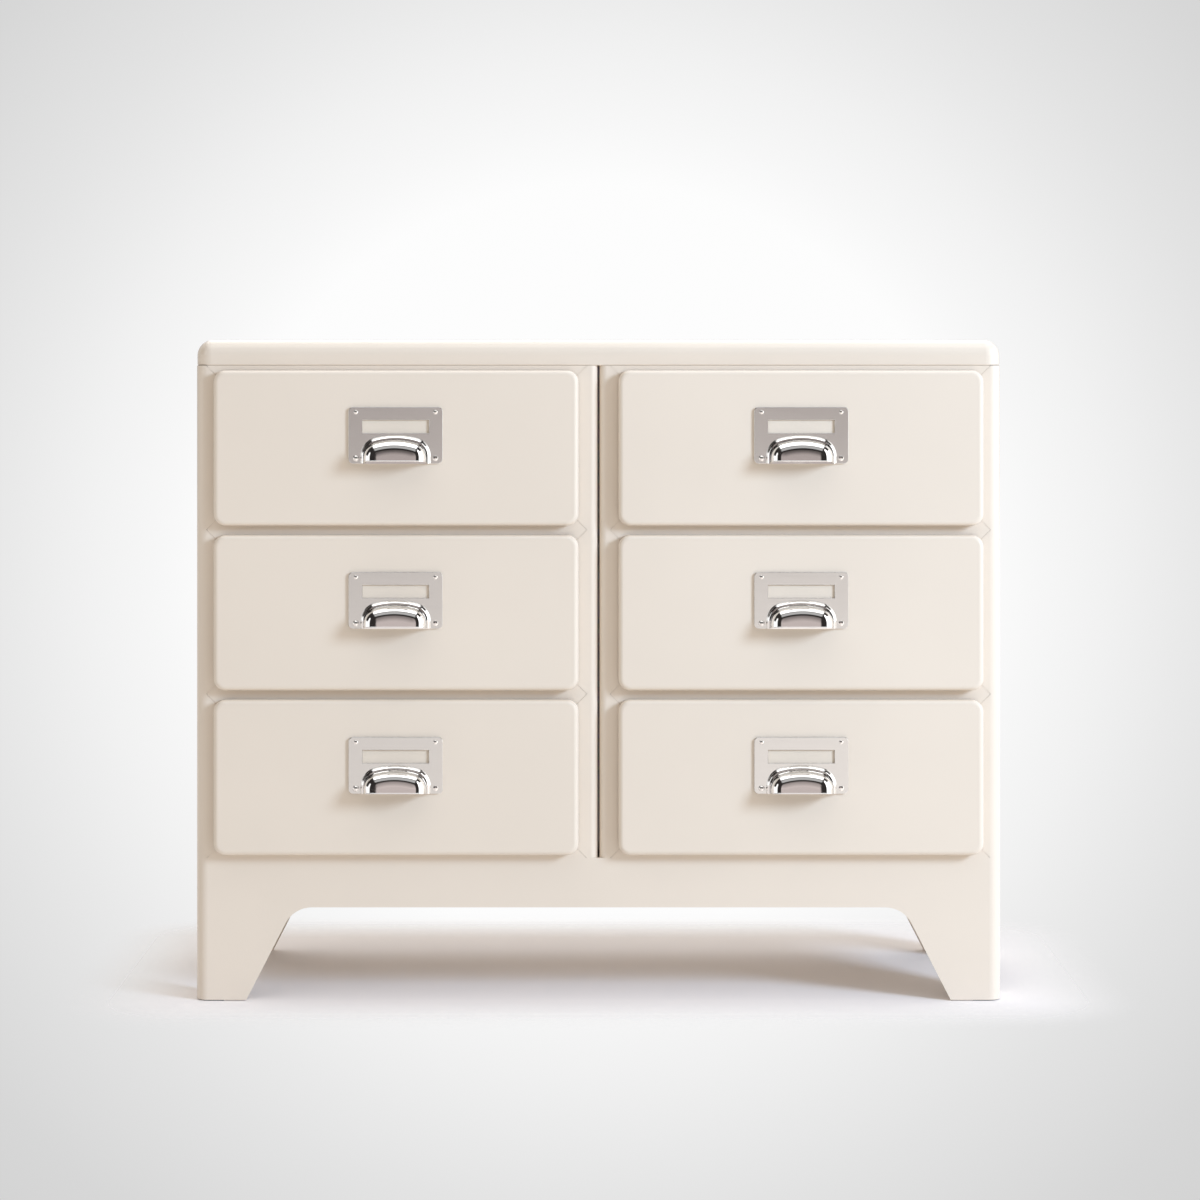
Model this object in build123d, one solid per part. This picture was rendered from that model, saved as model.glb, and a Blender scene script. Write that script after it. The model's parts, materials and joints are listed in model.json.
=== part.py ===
from build123d import *

import math
import os

# A free-standing sheet-steel chest with two columns of three drawers. Lengths are in millimetres.
# The floor is z = 0, the drawer fronts face -Y, and the origin is the middle of the whole footprint,
# counted from the front of the cup pulls to the back of the body.

# Driving dimensions of the whole chest
chest_width = 885
chest_height = 726
body_depth = 309
rows = 3

# Sheet steel
sheet = 1
fold_round = 1.6
seam_gap = 0.3
overrun = 5

# Base with its arched legs
base_height = 157
foot_width = 55
leg_angle = 27.2
arch_height = 102.7
arch_round = 32
arch_flange = 12
corner_round = 13
apron_return = 25
tab_width = 20
deck_rim = 15
glide_lift = 1
glide_width = 30
glide_height = 14
glide_corner = 15

# Columns
centre_gap = 2
inner_round = 8
side_reveal = 20.75
side_overlay = 4.35
post_flange = 12
rear_return = 18
back_room = 0.4

# Pressed cap over both columns
cap_height = 28
cap_round = 17
cap_lip = 12

# Rails across the front of each column
front_gap = 10.2
rail_overlay = 8
upper_reveal = 5.2
lower_reveal = 4.8
rail_depth = 20

# Pressed pan of a drawer front
front_proud = 16
front_round = 13
front_edge = 5.5
shut_gap = 0.7
hem_width = 12
front_plate_inset = 3

# Drawer tray
tray_side_room = 12
tray_floor_room = 6
tray_height = 118
tray_length = 285
tray_fold = 3
tray_hem = 6

# Runners on the sides of the column, and the nylon slides on the tray that run in them
runner_sheet = 1.2
runner_front_room = 2
runner_back_room = 3
runner_bite = 10
slide_thickness = 9
slide_height = 14
slide_rise = 24
slide_front = 20
slide_gap = 0.3
slide_bevel = 2.5

# Bolts and bars that join the two columns
bolt_radius = 3
bolt_hole_gap = 0.3
bolt_head_radius = 5.5
bolt_head_height = 4
nut_height = 5
bolt_front = 60
bolt_back = 60
bar_width = 25

# Label-holder plate of the pull
plate_width = 103
plate_height = 62
plate_thickness = 2.8
plate_round = 5
plate_edge = 1.2
plate_drop = 40
window_width = 72.7
window_height = 14.4
window_drop = 14.2
card_lap = 2
card_pocket = 0.8
card_thickness = 0.5
card_room = 0.4

# Cup of the pull
cup_width = 77
cup_drop = 30.5
cup_round = 26
cup_rim_width = 4.2
cup_rim_thickness = 2.2
cup_rim_edge = 1
cup_reach = 26
cup_shoulder = 11.5
cup_wall = 1.5

# Screws of the pull
screw_inset = 8
screw_drop = 5.8
screw_shank_radius = 1.5
screw_tail = 5
screw_hole_gap = 0.2
upper_head_radius = 2.5
upper_head_height = 1.2
lower_head_radius = 3.4
lower_head_height = 2.4
head_round_share = 0.85

# Sizes and places that follow
unit_width = (chest_width - centre_gap) / 2
unit_left = -chest_width / 2
unit_right = unit_left + unit_width
unit_middle = (unit_left + unit_right) / 2
column_pitch = unit_width + centre_gap
body_top = chest_height - cap_height
front_height = (body_top - base_height - upper_reveal - lower_reveal - (rows - 1) * front_gap) / rows
front_width = unit_width - 2 * side_reveal
row_pitch = front_height + front_gap
post_width = side_reveal + side_overlay
cup_height = plate_height - cup_drop
pull_reach = plate_thickness + cup_reach
overall_depth = body_depth + front_proud + pull_reach
face_y = pull_reach + front_proud - overall_depth / 2
back_y = face_y + body_depth
depth_middle = (face_y + back_y) / 2
front_y = face_y - front_proud
plate_front_y = front_y - plate_thickness
front_plate_y = face_y - shut_gap - sheet
first_front_bottom = base_height + lower_reveal
first_front_top = first_front_bottom + front_height
plate_top = first_front_top - plate_drop
tray_floor = first_front_bottom + rail_overlay + tray_floor_room
tray_top = tray_floor + tray_height
tray_back = front_plate_y + tray_length
tray_left = unit_left + post_width + tray_side_room
tray_right = unit_right - post_width - tray_side_room
slide_bottom = tray_floor + slide_rise
runner_bottom = slide_bottom - slide_gap - runner_sheet
runner_top = slide_bottom + slide_height + slide_gap + runner_sheet


def block(low, high):
    """A plain block between two opposite corners."""
    size = [b - a for a, b in zip(low, high)]
    return Pos(*low) * Box(*size, align=(Align.MIN, Align.MIN, Align.MIN))


def rounded_face(corners):
    """A flat face whose outline turns at each (x, y, radius) of corners."""
    turns = []
    for i, (x, y, radius) in enumerate(corners):
        here = Vector(x, y)
        before = (Vector(*corners[i - 1][:2]) - here).normalized()
        after = (Vector(*corners[(i + 1) % len(corners)][:2]) - here).normalized()
        half_turn = math.radians(before.get_angle(after)) / 2
        set_back = radius / math.tan(half_turn)
        inward = (before + after).normalized()
        middle = here + inward * (radius / math.sin(half_turn) - radius)
        turns.append((radius, here + before * set_back, middle, here + after * set_back))
    edges = []
    for i, (radius, start, middle, end) in enumerate(turns):
        if radius:
            edges.append(ThreePointArc(start, middle, end))
        edges.append(Line(end, turns[(i + 1) % len(turns)][1]))
    return make_face(edges)


def rounded_rectangle(left, right, low, high, radius):
    """A rectangle with four equal rounded corners."""
    corners = [(left, low), (right, low), (right, high), (left, high)]
    return rounded_face([(x, y, radius) for x, y in corners])


def folded_section(path, rounds):
    """Section of a folded sheet: path runs along its outer face, with the metal on the left of it."""
    points = [Vector(*point) for point in path]
    ways = [(b - a).normalized() for a, b in zip(points, points[1:])]
    lefts = [Vector(-way.Y, way.X) for way in ways]
    across = [lefts[0]]
    across += [(a + b) / (1 + a.dot(b)) for a, b in zip(lefts, lefts[1:])]
    across.append(lefts[-1])
    outer = []
    inner = []
    for point, way, radius in zip(points, across, [0] + rounds + [0]):
        inside = point + way * sheet
        outer.append((point.X, point.Y, radius))
        inner.append((inside.X, inside.Y, max(radius - sheet, 0)))
    return rounded_face(outer + inner[::-1])


def prism_x(face, low, high):
    """A face drawn in (y, z), drawn out between two values of x."""
    return extrude(Plane.YZ.offset(low) * face, amount=high - low, dir=(1, 0, 0))


def prism_y(face, front, back):
    """A face drawn in (x, z), drawn out between two values of y."""
    return extrude(Plane.XZ.offset(-front) * face, amount=back - front, dir=(0, 1, 0))


def prism_z(face, low, high):
    """A face drawn in (x, y), drawn out between two values of z."""
    return extrude(Plane.XY.offset(low) * face, amount=high - low, dir=(0, 0, 1))


def mirrored(shape, plane, offset):
    """The shape's mirror image across a plane moved out by offset."""
    return mirror(shape, about=plane.offset(offset))


def both_sides(shape):
    """A shape of the left column and its copy on the other side of the same column."""
    return [shape, mirrored(shape, Plane.YZ, unit_middle)]


# Base

def arch_face(span_middle, span):
    """Front or side view of the space under an arch, open at the floor."""
    lean = math.tan(math.radians(leg_angle))
    floor_half = span / 2 - foot_width
    low_half = floor_half + overrun * lean
    top_half = floor_half - arch_height * lean
    return rounded_face([
        (span_middle - low_half, -overrun, 0),
        (span_middle + low_half, -overrun, 0),
        (span_middle + top_half, arch_height, arch_round),
        (span_middle - top_half, arch_height, arch_round),
    ])


def grown_arch(span_middle, span):
    """The same space grown by one sheet, which leaves the flange that edges the arch."""
    return offset(arch_face(span_middle, span), amount=sheet, kind=Kind.INTERSECTION)


def front_apron():
    """Front of the base: an arch between two legs, with rounded corners turned back along the sides."""
    section = folded_section(
        [
            (unit_left, face_y + apron_return),
            (unit_left, face_y),
            (-unit_left, face_y),
            (-unit_left, face_y + apron_return),
        ],
        [corner_round, corner_round],
    )
    apron = prism_z(section, glide_lift, base_height)
    flange = prism_y(grown_arch(0, chest_width), face_y, face_y + arch_flange)
    flange = flange & block(
        (unit_left, face_y, glide_lift), (-unit_left, face_y + arch_flange, base_height)
    )
    hollow = prism_y(arch_face(0, chest_width), face_y - overrun, face_y + arch_flange + overrun)
    return apron + flange - hollow


def side_apron():
    """Left side of the base, between the returns of the front and rear aprons, with a tab behind each."""
    front = face_y + apron_return
    back = back_y - apron_return
    wall = block((unit_left, front, glide_lift), (unit_left + sheet, back, base_height))
    inner = unit_left + sheet
    flange = prism_x(grown_arch(depth_middle, body_depth), unit_left, unit_left + arch_flange)
    flange = flange & block(
        (unit_left, front, glide_lift), (unit_left + arch_flange, back, base_height)
    )
    wall += flange
    for seam, turned in ((front, -1), (back, 1)):
        reach = seam + turned * (apron_return - corner_round)
        start = seam - turned * (tab_width - apron_return + corner_round)
        low, high = sorted((start, reach))
        wall += block(
            (inner, low, glide_height + glide_lift), (inner + sheet, high, base_height - deck_rim)
        )
    hollow = prism_x(
        arch_face(depth_middle, body_depth), unit_left - overrun, unit_left + arch_flange + overrun
    )
    return wall - hollow


def base_deck():
    """Floor plate that the columns stand on, with a rim turned down inside the aprons."""
    left = unit_left + sheet
    front = face_y + sheet
    back = back_y - sheet
    outer = rounded_rectangle(left, -left, front, back, glide_corner)
    left += sheet
    front += sheet
    back -= sheet
    inner = rounded_rectangle(left, -left, front, back, glide_corner - sheet)
    plate = prism_z(outer, base_height - deck_rim, base_height)
    return plate - prism_z(inner, base_height - deck_rim - overrun, base_height - sheet)


def foot_glides():
    """Moulded glides, one in the corner of each leg, that stand a little below the metal."""
    left = unit_left + sheet
    front = face_y + sheet
    far_x = left + glide_width
    far_y = front + glide_width
    face = rounded_face([
        (left, front, glide_corner),
        (far_x, front, fold_round),
        (far_x, far_y, corner_round),
        (left, far_y, fold_round),
    ])
    glide = prism_z(face, 0, glide_height)
    glide = fillet(glide.edges().group_by(Axis.Z)[0], glide_lift / 2)
    pair = [glide, mirrored(glide, Plane.YZ, 0)]
    return pair + [mirrored(one, Plane.XZ, -depth_middle) for one in pair]


# Columns

def end_rail_face(near, far):
    """Front view of a top or bottom rail, mitred outwards from its edge on the opening to its far edge."""
    rise = abs(far - near)
    open_left = unit_left + post_width
    open_right = unit_right - post_width
    return rounded_face([
        (open_left, near, 0),
        (open_right, near, 0),
        (open_right + rise, far, 0),
        (open_left - rise, far, 0),
    ])


def middle_rail_face(low, high):
    """Front view of a rail between two drawers, pointed like an arrow at both ends."""
    half = (high - low) / 2
    open_left = unit_left + post_width
    open_right = unit_right - post_width
    return rounded_face([
        (open_left, low, 0),
        (open_right, low, 0),
        (open_right + half, low + half, 0),
        (open_right, high, 0),
        (open_left, high, 0),
        (open_left - half, low + half, 0),
    ])


def rail_faces():
    """Front views of one column's rails from the bottom up, as (face, low, high)."""
    high = first_front_bottom + rail_overlay
    faces = [(end_rail_face(high, base_height), base_height, high)]
    for row in range(rows - 1):
        low = first_front_top - rail_overlay + row * row_pitch
        high = low + front_gap + 2 * rail_overlay
        faces.append((middle_rail_face(low, high), low, high))
    low = body_top - upper_reveal - rail_overlay
    faces.append((end_rail_face(low, body_top), low, body_top))
    return faces


def frame_rails():
    """The rails of the left column: channels whose mitred ends fit the notches in the posts."""
    open_left = unit_left + post_width
    open_right = unit_right - post_width
    rails = []
    for face, low, high in rail_faces():
        section = folded_section(
            [
                (face_y + rail_depth, high),
                (face_y, high),
                (face_y, low),
                (face_y + rail_depth, low),
            ],
            [fold_round, fold_round],
        )
        rail = prism_x(section, open_left, open_right)
        rail += prism_y(face, face_y, face_y + sheet)
        lap = block(
            (unit_left + corner_round, face_y + sheet, low + 2 * sheet),
            (open_left + post_width, face_y + 2 * sheet, high - 2 * sheet),
        )
        for one in both_sides(lap):
            rail += one
        rails.append(rail)
    return rails


def side_panel(front_corner):
    """Left side of the left column, folded to a post in front and to a return behind."""
    section = folded_section(
        [
            (unit_left + rear_return, back_y),
            (unit_left, back_y),
            (unit_left, face_y),
            (unit_left + post_width, face_y),
            (unit_left + post_width, face_y + post_flange),
        ],
        [fold_round, front_corner, fold_round],
    )
    panel = prism_z(section, base_height, body_top)
    for face, low, high in rail_faces():
        notch = offset(face, amount=seam_gap, kind=Kind.INTERSECTION)
        panel -= prism_y(notch, face_y - overrun, face_y + post_flange + overrun)
    return panel


def bolt_places():
    """Where the bolts pass between the columns, as (y, z)."""
    places = []
    for row in range(rows - 1):
        height = first_front_top + front_gap / 2 + row * row_pitch
        places.append((face_y + bolt_front, height))
        places.append((back_y - bolt_back, height))
    return places


def inner_side_panel():
    """Right side of the left column, with a smaller corner and the bolt holes."""
    panel = mirrored(side_panel(inner_round), Plane.YZ, unit_middle)
    for y, z in bolt_places():
        hole = Cylinder(bolt_radius + bolt_hole_gap, sheet + 2 * overrun, rotation=(0, 90, 0))
        panel -= Pos(unit_right, y, z) * hole
    return panel


def joining_hardware():
    """Bolts with their nuts, and the two upright bars between the columns that they pass through."""
    solids = []
    half_grip = centre_gap / 2 + sheet
    for middle in (face_y + bolt_front, back_y - bolt_back):
        bar = block(
            (-centre_gap / 2, middle - bar_width / 2, base_height),
            (centre_gap / 2, middle + bar_width / 2, body_top),
        )
        hole = Cylinder(bolt_radius + bolt_hole_gap, centre_gap + overrun, rotation=(0, 90, 0))
        for y, z in bolt_places():
            bar -= Pos(0, y, z) * hole
        solids.append(bar)
    head = RegularPolygon(bolt_head_radius, 6)
    bolt = Cylinder(bolt_radius, 2 * half_grip, rotation=(0, 90, 0))
    bolt += extrude(Plane.YZ.offset(half_grip) * head, amount=bolt_head_height)
    bolt += extrude(Plane.YZ.offset(-half_grip) * head, amount=-nut_height)
    return solids + [Pos(0, y, z) * bolt for y, z in bolt_places()]


def back_panel():
    """Back of the left column, held inside the returns of its side panels."""
    edge = fold_round + back_room
    return block(
        (unit_left + edge, back_y - 2 * sheet, base_height), (unit_right - edge, back_y - sheet, body_top)
    )


def runners():
    """Fixed channels of the left column, two for each drawer, open towards the tray."""
    wall = unit_left + sheet
    reach = unit_left + post_width + runner_bite
    front = face_y + post_flange + runner_front_room
    back = back_y - 2 * sheet - runner_back_room
    channel = block((wall, front, runner_bottom), (reach, back, runner_top))
    channel -= block(
        (wall + runner_sheet, front - overrun, runner_bottom + runner_sheet),
        (reach + overrun, back + overrun, runner_top - runner_sheet),
    )
    solids = []
    for row in range(rows):
        solids += both_sides(Pos(0, 0, row * row_pitch) * channel)
    return solids


def cap_form(inset):
    """The cap's outer form, drawn in all round by inset."""
    left = unit_left + inset
    form = block(
        (left, face_y + inset, body_top + inset), (-left, back_y - inset, chest_height - inset)
    )
    rounded = form.edges().filter_by(Axis.Z) + form.edges().group_by(Axis.Z)[-1]
    form = fillet(rounded, cap_round - inset)
    return fillet(form.edges().group_by(Axis.Z)[0], fold_round - inset)


def top_cover():
    """Pressed cap over both columns, with a lip turned in below that rests on them."""
    lip = sheet + cap_lip
    opening = block(
        (unit_left + lip, face_y + lip, body_top - overrun),
        (-unit_left - lip, back_y - lip, body_top + cap_height / 2),
    )
    return cap_form(0) - cap_form(sheet) - opening


# Drawers

def pan_form(inset):
    """A drawer front's outer form, drawn in by inset except at its back."""
    face = rounded_rectangle(
        unit_middle - front_width / 2 + inset,
        unit_middle + front_width / 2 - inset,
        first_front_bottom + inset,
        first_front_top - inset,
        front_round - inset,
    )
    form = prism_y(face, front_y + inset, front_plate_y - inset)
    return fillet(form.edges().group_by(Axis.Y)[0], front_edge - inset)


def pull_screw_places():
    """Where the pull's screws go, as (x, z, head radius, head height)."""
    places = []
    across = plate_width / 2 - screw_inset
    for x in (unit_middle - across, unit_middle + across):
        places.append((x, plate_top - screw_drop, upper_head_radius, upper_head_height))
        places.append((x, plate_top - plate_height + screw_drop, lower_head_radius, lower_head_height))
    return places


def screw_holes():
    """The holes for the pull's screws, as cutting bodies."""
    depth = plate_thickness + sheet + 2 * overrun
    radius = screw_shank_radius + screw_hole_gap
    hole = Cylinder(radius, depth, rotation=(90, 0, 0))
    return [Pos(x, front_y, z) * hole for x, z, _, _ in pull_screw_places()]


def drawer_front():
    """Pressed pan with a rounded edge all round and a hem turned in at the back."""
    pan = pan_form(0) - pan_form(sheet)
    opening = rounded_rectangle(
        unit_middle - front_width / 2 + hem_width,
        unit_middle + front_width / 2 - hem_width,
        first_front_bottom + hem_width,
        first_front_top - hem_width,
        fold_round,
    )
    pan -= prism_y(opening, front_plate_y - 2 * sheet, front_plate_y + overrun)
    for hole in screw_holes():
        pan -= hole
    return pan


def tray_form(inset, top):
    """The tray's form up to a height, drawn in by inset, with its folds rounded but not its front."""
    form = block(
        (tray_left + inset, front_plate_y + inset, tray_floor + inset),
        (tray_right - inset, tray_back - inset, top),
    )
    folds = form.edges().group_by(Axis.Z)[0].sort_by(Axis.Y)[1:]
    folds += form.edges().group_by(Axis.Y)[-1].filter_by(Axis.Z)
    return fillet(folds, tray_fold - inset)


def drawer_tray():
    """Folded tray with a turned-in rim, and a front plate that the drawer front is fixed to."""
    face = rounded_rectangle(
        unit_middle - front_width / 2 + front_plate_inset,
        unit_middle + front_width / 2 - front_plate_inset,
        first_front_bottom + front_plate_inset,
        first_front_top - front_plate_inset,
        front_round - front_plate_inset,
    )
    plate = prism_y(face, front_plate_y, front_plate_y + sheet)
    mouth = block(
        (tray_left + tray_hem, front_plate_y + sheet, tray_top - 2 * sheet),
        (tray_right - tray_hem, tray_back - tray_hem, tray_top + overrun),
    )
    return plate + (tray_form(0, tray_top) - tray_form(sheet, tray_top - sheet) - mouth)


def drawer_slides():
    """Nylon slides fixed along the sides of the tray."""
    slide = block(
        (tray_left - slide_thickness, front_plate_y + slide_front, slide_bottom),
        (tray_left, tray_back - tray_fold, slide_bottom + slide_height),
    )
    outer_ends = slide.edges().group_by(Axis.X)[0].filter_by(Axis.Z)
    return both_sides(chamfer(outer_ends, slide_bevel))


def pull_plate():
    """Label-holder plate with its window, and a shallow pocket behind that for the card."""
    left = unit_middle - plate_width / 2
    plate = prism_y(
        rounded_rectangle(left, left + plate_width, plate_top - plate_height, plate_top, plate_round),
        plate_front_y,
        front_y,
    )
    plate = fillet(plate.edges().group_by(Axis.Y)[0], plate_edge)
    window_left = unit_middle - window_width / 2
    window_top = plate_top - window_drop
    window_low = window_top - window_height
    plate -= block(
        (window_left, plate_front_y - overrun, window_low),
        (window_left + window_width, front_y + overrun, window_top),
    )
    lap = card_lap + card_room
    plate -= block(
        (window_left - lap, front_y - card_pocket, window_low - lap),
        (window_left + window_width + lap, front_y + overrun, window_top + lap),
    )
    for hole in screw_holes():
        plate -= hole
    return plate


def label_card():
    """Blank card that lies on the drawer front behind the window."""
    window_left = unit_middle - window_width / 2
    window_top = plate_top - window_drop
    return block(
        (window_left - card_lap, front_y - card_thickness, window_top - window_height - card_lap),
        (window_left + window_width + card_lap, front_y, window_top + card_lap),
    )


def cup_form(inset, reach, low, edge):
    """A form of the cup pull, drawn in from its rim by inset, standing out from the plate by reach."""
    half = cup_width / 2 - inset
    bottom = plate_top - plate_height
    high = bottom + cup_height - inset
    face = rounded_face([
        (unit_middle - half, low, 0),
        (unit_middle + half, low, 0),
        (unit_middle + half, high, cup_round - inset),
        (unit_middle - half, high, cup_round - inset),
    ])
    form = prism_y(face, plate_front_y - reach, plate_front_y)
    front_edges = form.edges().group_by(Axis.Y)[0].sort_by(Axis.Z)[1:]
    return fillet(front_edges, edge)


def cup_pull():
    """Pressed cup, open below for the fingers, with a flat rim that lies on the plate."""
    bottom = plate_top - plate_height
    rim = cup_form(0, cup_rim_thickness, bottom, cup_rim_edge)
    cup = cup_form(cup_rim_width, cup_reach, bottom, cup_shoulder)
    hollow = cup_form(
        cup_rim_width + cup_wall, cup_reach - cup_wall, bottom - overrun, cup_shoulder - cup_wall
    )
    return rim + cup - hollow


def pull_screws():
    """Round-headed screws in the corners of the plate."""
    screws = []
    for x, z, head_radius, head_height in pull_screw_places():
        head = Cylinder(head_radius, head_height, align=(Align.CENTER, Align.CENTER, Align.MIN))
        head = fillet(head.edges().group_by(Axis.Z)[-1], head_height * head_round_share)
        length = plate_thickness + sheet + screw_tail
        shank = Cylinder(screw_shank_radius, length, align=(Align.CENTER, Align.CENTER, Align.MAX))
        screws.append(Pos(x, plate_front_y, z) * Rot(90, 0, 0) * (head + shank))
    return screws


# The nodes

def solids_of(shape):
    """The separate solids of a shape or of a list of shapes."""
    if isinstance(shape, (list, tuple)):
        return [solid for one in shape for solid in one.solids()]
    return list(shape.solids())


def fixed_nodes():
    """Every node of the fixed body by name."""
    outer_side = side_panel(corner_round)
    inner_side = inner_side_panel()
    back = back_panel()
    rails = Compound(solids_of(frame_rails()))
    channels = Compound(solids_of(runners()))
    apron = front_apron()
    base_side = side_apron()
    nodes = {
        "top_cover": top_cover(),
        "base_front_apron": apron,
        "base_rear_apron": mirrored(apron, Plane.XZ, -depth_middle),
        "base_left_side": base_side,
        "base_right_side": mirrored(base_side, Plane.YZ, 0),
        "base_deck": base_deck(),
        "foot_glides": foot_glides(),
        "joining_hardware": joining_hardware(),
    }
    pieces = {
        "outer_side": outer_side,
        "inner_side": inner_side,
        "back": back,
        "frame_rails": rails,
        "runners": channels,
    }
    for name, piece in pieces.items():
        nodes["left_" + name] = piece
        nodes["right_" + name] = mirrored(piece, Plane.YZ, 0)
    return nodes


def drawer_nodes():
    """Every node of the six drawers by name."""
    pieces = {
        "drawer_front": drawer_front(),
        "drawer_tray": drawer_tray(),
        "drawer_slides": drawer_slides(),
        "pull_plate": pull_plate(),
        "cup_pull": cup_pull(),
        "label_card": label_card(),
        "pull_screws": pull_screws(),
    }
    row_names = ["bottom", "middle", "top"]
    nodes = {}
    for column, column_name in enumerate(["left", "right"]):
        for row, row_name in enumerate(row_names):
            place = Pos(column * column_pitch, 0, row * row_pitch)
            for name, piece in pieces.items():
                moved = [place * solid for solid in solids_of(piece)]
                nodes[column_name + "_" + row_name + "_" + name] = moved
    return nodes


def write_nodes():
    """Write each node to its own file in parts."""
    os.makedirs("parts", exist_ok=True)
    nodes = fixed_nodes()
    nodes.update(drawer_nodes())
    for name, shape in nodes.items():
        solids = solids_of(shape)
        whole = solids[0] if len(solids) == 1 else Compound(solids)
        export_step(whole, "parts/" + name + ".step")


write_nodes()
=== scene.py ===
import json
import math

import bpy
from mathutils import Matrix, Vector


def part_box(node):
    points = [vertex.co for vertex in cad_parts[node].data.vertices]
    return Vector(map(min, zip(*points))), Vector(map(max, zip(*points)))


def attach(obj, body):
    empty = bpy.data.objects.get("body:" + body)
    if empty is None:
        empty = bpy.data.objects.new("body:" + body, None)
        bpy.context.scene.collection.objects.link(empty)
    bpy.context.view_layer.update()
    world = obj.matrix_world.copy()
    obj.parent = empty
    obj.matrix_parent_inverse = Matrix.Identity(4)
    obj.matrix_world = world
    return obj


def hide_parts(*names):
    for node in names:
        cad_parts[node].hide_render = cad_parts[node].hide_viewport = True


# A sheet-steel chest in cream powder coat, with two columns of three drawers and a plated pull on each.
# Everything is in metres. The floor is z = 0 and the drawers face -Y.

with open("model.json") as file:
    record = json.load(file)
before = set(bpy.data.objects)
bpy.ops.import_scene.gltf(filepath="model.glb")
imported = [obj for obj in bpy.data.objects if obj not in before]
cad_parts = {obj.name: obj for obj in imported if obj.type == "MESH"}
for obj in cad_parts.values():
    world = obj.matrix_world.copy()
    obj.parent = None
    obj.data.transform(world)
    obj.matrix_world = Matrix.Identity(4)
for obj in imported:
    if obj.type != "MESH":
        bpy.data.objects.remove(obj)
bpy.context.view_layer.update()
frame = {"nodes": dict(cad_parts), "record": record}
nodes = frame["nodes"]

QUARTER_TURN = math.radians(90)
COLUMNS = ("left", "right")
ROWS = ("bottom", "middle", "top")


# Camera: level, a little lower than the top of the chest, with the picture shifted down to hold the feet

CAMERA_PLACE = (0, -3.732, 0.715)
LENS = 98.3
SENSOR_WIDTH = 36
SHIFT_X = 0.00125
SHIFT_Y = -0.2083


def set_camera():
    """The camera at the photograph's place and angle."""
    bpy.ops.object.camera_add(location=CAMERA_PLACE, rotation=(QUARTER_TURN, 0, 0))
    camera = bpy.context.object
    camera.name = "camera"
    camera.data.lens = LENS
    camera.data.sensor_width = SENSOR_WIDTH
    camera.data.shift_x = SHIFT_X
    camera.data.shift_y = SHIFT_Y
    bpy.context.scene.camera = camera


# Materials

BLACK = (0, 0, 0, 1)
# The strongest light that a glow can give
MOST_GLOW = 10
# Most of a noise lies in the narrow range, nearly all of it in the wide one, and its peaks in the high one
NARROW_NOISE = (0.3, 0.7)
WIDE_NOISE = (0.25, 0.75)
HIGH_NOISE = (0.4, 0.8)
# How much rougher a finish gets where its grains, clouds or smears are strongest
GRAIN_ROUGHNESS = 0.05
CLOUD_ROUGHNESS = 0.03
SMEAR_ROUGHNESS = 0.07
MOULD_ROUGHNESS = 0.12
SPANGLES_PER_METRE = 140
SPANGLE_SHARE = 0.12


def tone(colour, share):
    """A colour made lighter or darker by a share of itself."""
    return tuple(min(value * share, 1) for value in colour) + (1,)


class Wire:
    """A value running through a material's nodes, on which plain arithmetic can be done."""

    def __init__(self, recipe, socket):
        self.recipe = recipe
        self.socket = socket

    def maths(self, operation, *others):
        """A Math node on this value and the others."""
        values = (self,) + others
        return self.recipe.node("ShaderNodeMath", {"operation": operation}, dict(enumerate(values)))

    def __add__(self, other):
        return self.maths("ADD", other)

    __radd__ = __add__

    def __mul__(self, other):
        return self.maths("MULTIPLY", other)

    __rmul__ = __mul__

    def __sub__(self, other):
        return self.maths("SUBTRACT", other)

    def __rsub__(self, other):
        return (self * -1) + other

    def __truediv__(self, other):
        return self.maths("DIVIDE", other)

    def __pow__(self, other):
        return self.maths("POWER", other)

    def __abs__(self):
        return self.maths("ABSOLUTE")

    def most(self, other):
        """The larger of the two values."""
        return self.maths("MAXIMUM", other)

    def between(self, low, high):
        """Goes from low to high as this value goes from 0 to 1."""
        return self * (high - low) + low

    def step(self, start, end, low=0, high=1):
        """Eases from low to high as this value goes from start to end."""
        settings = {"interpolation_type": "SMOOTHSTEP", "clamp": True}
        values = {"Value": self, "From Min": start, "From Max": end, "To Min": low, "To Max": high}
        return self.recipe.node("ShaderNodeMapRange", settings, values)


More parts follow.
